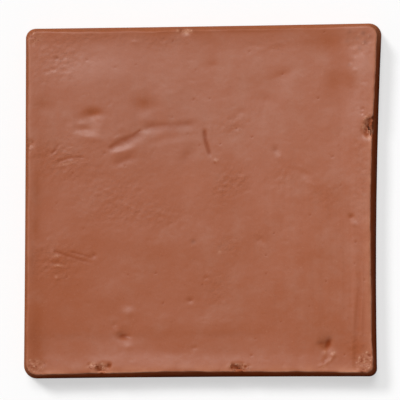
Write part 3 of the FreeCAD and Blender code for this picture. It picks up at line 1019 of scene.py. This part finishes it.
low, high = (np.array(corner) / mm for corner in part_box(tileSkin["node"]))
skin = layNominalSkin(low, high)
faceCount = len(skin["quads"]) * 2 + len(skin["triangles"])
print("skin laid out:", len(skin["points"]), "points,", faceCount, "triangles")
solid = cadTree(tileSkin["node"])
followSides(skin, low, high, solid)
offsets = layOnSolid(skin, solid)
grid = skin["grid"]
offsets[grid.ravel()] = smoothGrid(offsets[grid]).ravel()
points = skin["points"] + skin["normals"] * offsets[:, None]
points, hollowShade, torn, pebbles = carveClay(skin, points)
points = np.clip(points, low, high)
tile = putInScene("firedTile", makeMesh("firedTile", points, skin["quads"], skin["triangles"]))
x, y, _ = (points - mouldMiddle).T
cornerLight = np.clip(ovalSum(x, y, litCorners), 0, 1)
painting = {
    "torn": torn,
    "pit": hollowShade,
    "pebbles": pebbles,
    "pale": np.clip(ovalSum(x, y, paleMarks), 0, 1),
    "wall": wallShare(skin["zones"]),
    "wallShade": bySide(skin["outs"], wallSides["wallShade"]) * (1 - cornerLight),
    "wiped": ovalSum(x, y, wipedClay),
    "arris": arrisShare(skin, points, torn),
    "rub": rubShare(points),
    "shade": ovalSum(x, y, paintedShadeAndLight),
}
for name, values in painting.items():
    paint(tile.data, name, values)
print("face pressed and painted")


firedClay = {
    "warmClay": (0.310, 0.0795, 0.0285, 1),
    "rosyClay": (0.316, 0.0915, 0.0400, 1),
    "paleBloomAndSheen": (0.62, 0.44, 0.36, 1),
    "ironSpeck": (0.17, 0.040, 0.016, 1),
    "paleGrog": (0.50, 0.22, 0.13, 1),
    "rawClay": (0.50, 0.155, 0.066, 1),
    "tornClay": (0.35, 0.120, 0.062, 1),
    "wornAndLitClay": (0.60, 0.265, 0.158, 1),
    "crumbClay": (0.60, 0.305, 0.195, 1),
    # colours of the painted shade on the walls, up top and at the foot
    "wallShadeClay": (0.36, 0.060, 0.010, 1),
    "footShadeClay": (0.150, 0.021, 0.001, 1),
    # colour of the painted shade in hollows and crevices
    "pitShadeClay": (0.190, 0.030, 0.005, 1),
    "patchSize": 52.0,
    "mottleSize": 11.0,
    "speckSize": 1.1,
    "bodySheen": 0.02,
    "faceRoughness": 0.56,
    "wallRoughness": 0.92,
    "skinRoughness": 0.40,
    "streakSize": 2.6,
    "crumbSize": 1.6,
    "shadeWobbleSize": 6.0,
    "footShadeHeights": (2.0, 19.0),  # heights where the walls' painted shade is all the dark foot colour, and where none of it is
    "skinIndex": 1.61,  # refraction of the rubbed skin: how strongly it shines
}


layerShares = {
    # how strongly each layer of colour shows
    "bloomAndSheen": 0.05,
    "grog": 0.16,
    "speck": 0.26,
    "raw": 0.8,
    "torn": 2.2,
    "creviceShade": 0.8,
    "crumb": 0.8,
    "pit": 0.8,
    "wallShade": 0.94,
    "wornAndLit": 0.9,
}

clayRelief = {
    # size of the lumps, their height, detail, roughness
    "fine": (2.2, 0.030, 3.0, 0.6),
    "finest": (0.8, 0.010, 2.0, 0.6),
    "wiped": (1.6, 0.016, 2.0, 0.5),
    "wall": (1.5, 0.16, 4.0, 0.65),
    "pebbly": (1.8, 0.30, 2.0, 0.6),
    "crumbHeight": 0.14,
}


def makeFiredClay():
    looks, shares = firedClay, layerShares
    clay = bpy.data.materials.new("firedClay")
    clay.use_nodes = True
    nodes = ClayNodes(clay.node_tree)
    objectPlace = nodes.add("ShaderNodeTexCoord").outputs["Object"]
    place = nodes.vector("SCALE", {0: objectPlace, "Scale": 1 / mm})[0]
    painted = ("wall", "torn", "rub", "arris", "crumb", "pebbles")
    wall, torn, rub, arris, crumb, pebbles = (nodes.attribute(name) for name in painted)
    # painted shade on the walls, near black at the foot
    wallShade = (nodes.attribute("wallShade") * wall * (1 - torn * 1.2).clamped()).clamped()
    # painted shade in pits, crease floors, rim cuts and pinholes
    pit = (nodes.attribute("pit") + nodes.attribute("pinhole") * 0.6).clamped()

    def over(share, layer):
        # the colour so far with another laid over it
        return nodes.blend(share, colour, looks[layer])

    # colour
    patches = nodes.grain(place, looks["patchSize"], detail=3.0)
    mottle = nodes.grain(place, looks["mottleSize"], detail=4.0, rough=0.6)
    specks = nodes.grain(place, looks["speckSize"], detail=1.0)
    colour = looks["warmClay"]
    colour = over(0.5 + patches * 0.7 + mottle * 0.5, "rosyClay")
    # pale bloom in patches, and painted sheen: paler where the rubbed skin shines
    bloomAndSheen = nodes.rising(mottle + patches * 0.6, -0.1, 0.7) * shares["bloomAndSheen"] + rub * 0.03 + specks * 0.012
    colour = over(bloomAndSheen, "paleBloomAndSheen")
    colour = over(nodes.rising(specks, 0.34, 0.62) * shares["grog"], "paleGrog")
    colour = over(nodes.rising(0 - specks, 0.36, 0.64) * shares["speck"], "ironSpeck")
    colour = over(wall * shares["raw"], "rawClay")
    colour = over(torn * shares["torn"], "tornClay")
    streaks = nodes.grain(nodes.stretched(place, 0, (1.0, 14.0, 14.0)), looks["streakSize"], detail=3.0)
    # painted shade, and painted light where the ovals are below 0, broken into streaks
    shade = nodes.attribute("shade") * (0.8 + streaks * 0.9)
    colour = nodes.vector("SCALE", {0: colour, "Scale": 1 - shade})[0]
    crumbs = nodes.grain(place, looks["crumbSize"], detail=3.0, rough=0.65)
    inTorn = nodes.rising(torn, 0.08, 0.5)
    # painted shade in the low places of the torn clay
    creviceShade = inTorn * nodes.rising(0 - crumbs, 0.02, 0.30) * (1 - crumb)
    colour = over(creviceShade * shares["creviceShade"], "pitShadeClay")
    pale = nodes.attribute("pale") * (0.7 + specks) + inTorn * nodes.rising(crumbs, 0.12, 0.36) * 0.6
    colour = over((pale + crumb) * shares["crumb"], "crumbClay")
    colour = over(pit * shares["pit"], "pitShadeClay")
    shadeWobble = nodes.grain(nodes.stretched(place, 0, (3.0, 3.0, 1.0)), looks["shadeWobbleSize"], detail=3.0)
    height = ClayValue(nodes, nodes.add("ShaderNodeSeparateXYZ", None, {0: place}).outputs[2])
    aboveFootShade = nodes.rising(height + shadeWobble * 4, *looks["footShadeHeights"])
    wallShadeColour = nodes.blend(aboveFootShade, looks["footShadeClay"], looks["wallShadeClay"])
    colour = nodes.blend(wallShade * (shares["wallShade"] + shadeWobble * 0.2), colour, wallShadeColour)
    # worn arris, and a painted highlight along it
    colour = over(arris * (shares["wornAndLit"] + mottle * 0.5), "wornAndLitClay")

    # gloss: a rubbed skin on the face only
    rough = looks["faceRoughness"] + wall * (looks["wallRoughness"] - looks["faceRoughness"])
    rough = rough + torn * 0.3 + mottle * 0.08
    matt = (torn * 0.9 + pit + pebbles * 0.25 + arris * 0.8).clamped()
    rubbed = rub * (1 + nodes.attribute("wiped") * streaks * 0.5)
    skinShare = rubbed * (1 - wall * 3).clamped() * (1 - matt) + mottle * 0.05

    # fine relief, heights in millimetres
    def lumps(name, where):
        size, tall, detail, rough = clayRelief[name]
        return nodes.grain(where, size, detail, rough) * tall

    wiped = lumps("wiped", nodes.stretched(place, 62, (9.0, 1.0, 1.0))) * (1 - wall)
    rawWall = lumps("wall", nodes.stretched(place, 0, (1.0, 1.0, 0.6))) * wall
    relief = lumps("fine", place) + lumps("finest", place) + wiped + rawWall
    relief = relief + crumbs * torn * clayRelief["crumbHeight"] + lumps("pebbly", place) * pebbles
    bump = nodes.add("ShaderNodeBump", None, {"Strength": 1.0, "Distance": mm, "Height": relief})
    nodes.feed(clay.node_tree.nodes["Principled BSDF"], {
        "Base Color": colour,
        "Roughness": rough.clamped(),
        "Coat Weight": skinShare.clamped(),
        "Coat Roughness": looks["skinRoughness"],
        "Coat IOR": looks["skinIndex"],
        "Specular IOR Level": looks["bodySheen"],
        "Normal": bump.outputs[0],
    })
    return clay


scatterGrit(tile, makeFiredClay())
keepInside(tile.data, low, high)
print("clay material made")

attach(tile, "root")
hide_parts(tileSkin["node"])

# Floor, light and camera

studio = {
    "floorSize": 60.0,
    "floorGlow": (0.53, 0.53, 0.53, 1),  # what the camera sees with no light on the floor
    "floorSeen": (0.445, 0.445, 0.445, 1),
    "floorBounce": (0.28, 0.26, 0.25, 1),
    "skySeen": (0.975, 0.975, 0.975, 1),
    "skyLight": (0.17, 0.17, 0.17, 1),
    "lamps": {
        # strength, direction towards the lamp, spread in degrees
        "keyLamp": (1.88, (-0.52, 0.58, 1.0), 14.0),
        "backLamp": (1.25, (-0.08, 0.42, 1.0), 18.0),
    },
}


def seenShare(nodes):
    # 1 where the camera sees a surface, straight, mirrored or through glass
    rays = nodes.add("ShaderNodeLightPath").outputs
    straight = nodes.maths("MAXIMUM", rays["Is Camera Ray"], rays["Is Glossy Ray"])
    return nodes.maths("MAXIMUM", straight, rays["Is Transmission Ray"])


def makeStudio():
    mesh = bpy.data.meshes.new("floor")
    half = studio["floorSize"] / 2
    corners = [(-half, -half, 0), (half, -half, 0), (half, half, 0), (-half, half, 0)]
    mesh.from_pydata(corners, [], [(0, 1, 2, 3)])
    floor = putInScene("floor", mesh)
    material = bpy.data.materials.new("floorWhite")
    material.use_nodes = True
    nodes = ClayNodes(material.node_tree)
    seen = seenShare(nodes)
    nodes.feed(material.node_tree.nodes["Principled BSDF"], {
        "Base Color": nodes.blend(seen, studio["floorBounce"], studio["floorSeen"]),
        "Emission Color": nodes.blend(seen, (0, 0, 0, 1), studio["floorGlow"]),
        "Emission Strength": 1.0,
        "Roughness": 1.0,
        "Specular IOR Level": 0.0,
    })
    mesh.materials.append(material)
    for name, (strength, towards, spread) in studio["lamps"].items():
        lamp = bpy.data.lights.new(name, "SUN")
        lamp.energy = strength
        lamp.angle = math.radians(spread)
        putInScene(name, lamp).rotation_euler = Vector(towards).to_track_quat("Z", "Y").to_euler()
    world = bpy.data.worlds.new("studioWorld")
    bpy.context.scene.world = world
    world.use_nodes = True
    nodes = ClayNodes(world.node_tree)
    sky = nodes.blend(seenShare(nodes), studio["skyLight"], studio["skySeen"])
    nodes.feed(world.node_tree.nodes["Background"], {"Color": sky})


viewfinder = {
    "lens": 800.0,  # long, so that the walls show as narrow strips
    "sensor": 36.0,
    "frameWidth": 226.4,  # what the 400 pixels span at the face
    "lean": (1.2, 1.5, 0.0),  # degrees from straight down: to the front, to the right
    "clipEnd": 100,
}


def makeCamera(faceHeight):
    camera = bpy.data.cameras.new("camera")
    camera.lens = viewfinder["lens"]
    camera.sensor_width = viewfinder["sensor"]
    camera.clip_end = viewfinder["clipEnd"]
    holder = putInScene("camera", camera)
    distance = viewfinder["frameWidth"] * mm * viewfinder["lens"] / viewfinder["sensor"]
    lean = Euler([math.radians(turn) for turn in viewfinder["lean"]])
    faceMiddle = Vector((mouldMiddle[0] * mm, mouldMiddle[1] * mm, faceHeight))
    holder.location = faceMiddle + lean.to_matrix() @ Vector((0, 0, distance))
    holder.rotation_euler = lean
    bpy.context.scene.camera = holder


makeStudio()
makeCamera(high[2] * mm)
bpy.context.scene.view_settings.view_transform = "Standard"
print("studio and camera made")
